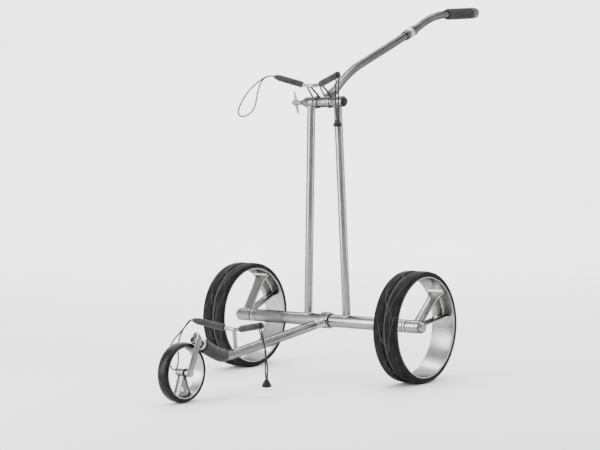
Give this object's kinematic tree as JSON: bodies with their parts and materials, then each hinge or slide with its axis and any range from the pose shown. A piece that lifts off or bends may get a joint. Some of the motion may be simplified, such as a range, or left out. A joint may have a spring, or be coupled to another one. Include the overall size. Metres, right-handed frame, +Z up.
{
  "type": "three-wheeled golf trolley",
  "caption": "Folding electric golf trolley with a tube frame, hoop-rim rear wheels, one-sided front fork, two padded bag brackets with shock cords and a long swivelling handle.",
  "frame": {"origin": "on the ground at the middle of the trolley's length and width", "axes": "+Y towards the handle's grip, -Y towards the front wheel, +X towards the trolley's left side, +Z up"},
  "size_m": [0.642, 1.4086, 1.0196],
  "materials": {
    "frame_steel": "brushed along the tube, slightly warm grey",
    "wheel_metal": "brushed, with bright edges",
    "bright_metal": "turned and fine-knurled",
    "screw_metal": "satin",
    "tyre": "matte black with a curved groove pattern",
    "pad_foam": "matte closed-cell foam",
    "grip_rubber": "ribbed, matte",
    "black_plastic": "moulded, slightly glossy",
    "controller_plastic": "plain",
    "shock_cord": "braided elastic cord",
    "drive_metal": "plain machined"
  },
  "bodies": {
    "chassis": {"axle_tube": "frame_steel", "gear_motor_left": "drive_metal", "gear_motor_right": "drive_metal", "axle_bearing_left": "drive_metal", "axle_bearing_right": "drive_metal", "upright_left": "frame_steel", "upright_right": "frame_steel", "clamp_sleeve_left": "frame_steel", "clamp_sleeve_right": "frame_steel", "clamp_cap": "black_plastic"},
    "rear_wheel_left": {"rear_tyre_left": "tyre", "rear_rim_left": "wheel_metal", "rear_spoke_left": "wheel_metal", "drive_shaft_left": "drive_metal"},
    "release_left": {"release_ring_left": "bright_metal"},
    "rear_wheel_right": {"rear_tyre_right": "tyre", "rear_rim_right": "wheel_metal", "rear_spoke_right": "wheel_metal", "drive_shaft_right": "drive_metal"},
    "release_right": {"release_ring_right": "bright_metal"},
    "clamp_screw": {"wing_screw": "screw_metal"},
    "handle": {"clamp_sleeve_centre": "frame_steel", "upper_strut_left": "frame_steel", "upper_strut_right": "frame_steel", "upper_bracket_bar": "frame_steel", "upper_pad_left": "pad_foam", "upper_pad_right": "pad_foam", "upper_pad_cap_left": "black_plastic", "upper_pad_cap_right": "black_plastic", "upper_cord_loop": "shock_cord", "upper_cord_outer_strand": "shock_cord", "upper_cord_inner_strand": "shock_cord", "upper_cord_knob": "black_plastic", "handle_tube_lower": "frame_steel", "handle_gusset": "frame_steel"},
    "lock_ring": {"swivel_lock_ring": "bright_metal"},
    "upper_handle": {"handle_tube_upper": "frame_steel", "grip_sleeve": "grip_rubber", "speed_controller": "controller_plastic"},
    "dial": {"speed_dial": "bright_metal"},
    "button": {"power_button": "black_plastic"},
    "front_frame": {"front_collar": "frame_steel", "main_tube": "frame_steel", "nose_sleeve": "pad_foam", "lower_bracket_bar": "frame_steel", "lower_pad_left": "pad_foam", "lower_pad_right": "pad_foam", "lower_pad_cap_left": "black_plastic", "lower_pad_cap_right": "black_plastic", "lower_cord_loop": "shock_cord", "lower_cord_outer_strand": "shock_cord", "lower_cord_inner_strand": "shock_cord", "lower_cord_knob": "black_plastic", "head_collar": "bright_metal"},
    "lock_nut": {"front_lock_nut": "bright_metal"},
    "fork": {"front_fork": "frame_steel"},
    "front_wheel": {"front_tyre": "tyre", "front_rim": "wheel_metal", "front_spoke": "wheel_metal"}
  },
  "joints": [
    {"name": "rear_wheel_left_spin", "type": "hinge", "parent": "chassis", "child": "rear_wheel_left", "pos_m": [0.2865, -0.0488, 0.145], "axis": [1, 0, 0], "continuous": true},
    {"name": "rear_wheel_right_spin", "type": "hinge", "parent": "chassis", "child": "rear_wheel_right", "pos_m": [-0.2865, -0.0488, 0.145], "axis": [1, 0, 0], "continuous": true},
    {"name": "release_left_slide", "type": "slide", "parent": "rear_wheel_left", "child": "release_left", "axis": [1, 0, 0], "range_m": [0, 0.003], "stiffness_N_per_m": 300},
    {"name": "release_right_slide", "type": "slide", "parent": "rear_wheel_right", "child": "release_right", "axis": [-1, 0, 0], "range_m": [0, 0.003], "stiffness_N_per_m": 300},
    {"name": "clamp_screw_turn", "type": "hinge", "parent": "chassis", "child": "clamp_screw", "pos_m": [0, -0.0528, 0.73], "axis": [1, 0, 0], "range_deg": [0, 300]},
    {"name": "handle_fold", "type": "hinge", "parent": "chassis", "child": "handle", "pos_m": [0, -0.0528, 0.73], "axis": [-1, 0, 0], "range_deg": [-12, 78]},
    {"name": "swivel_lock_turn", "type": "hinge", "parent": "handle", "child": "lock_ring", "pos_m": [0, 0.3302, 0.9203], "axis": [0, 0.9278, 0.373], "range_deg": [0, 90]},
    {"name": "handle_swivel", "type": "hinge", "parent": "handle", "child": "upper_handle", "pos_m": [0, 0.3302, 0.9203], "axis": [0, 0.9278, 0.373], "range_deg": [-90, 90]},
    {"name": "dial_turn", "type": "hinge", "parent": "upper_handle", "child": "dial", "pos_m": [0, 0.5422, 0.9916], "axis": [0, 0.9972, 0.075], "range_deg": [0, 270]},
    {"name": "power_button_press", "type": "slide", "parent": "upper_handle", "child": "button", "axis": [0, -0.9972, -0.075], "range_m": [0, 0.0015], "stiffness_N_per_m": 500},
    {"name": "front_frame_fold", "type": "hinge", "parent": "chassis", "child": "front_frame", "pos_m": [0, -0.0488, 0.145], "axis": [-1, 0, 0], "range_deg": [0, 80]},
    {"name": "lock_nut_turn", "type": "hinge", "parent": "front_frame", "child": "lock_nut", "pos_m": [0, -0.0488, 0.145], "axis": [0, -0.9924, -0.1227], "range_deg": [0, 180]},
    {"name": "fork_tracking", "type": "hinge", "parent": "front_frame", "child": "fork", "pos_m": [0, -0.5558, 0.1319], "axis": [0, -0.8926, 0.4509], "range_deg": [-5, 5]},
    {"name": "front_wheel_spin", "type": "hinge", "parent": "fork", "child": "front_wheel", "pos_m": [0, -0.6308, 0.0735], "axis": [1, 0, 0], "continuous": true}
  ]
}
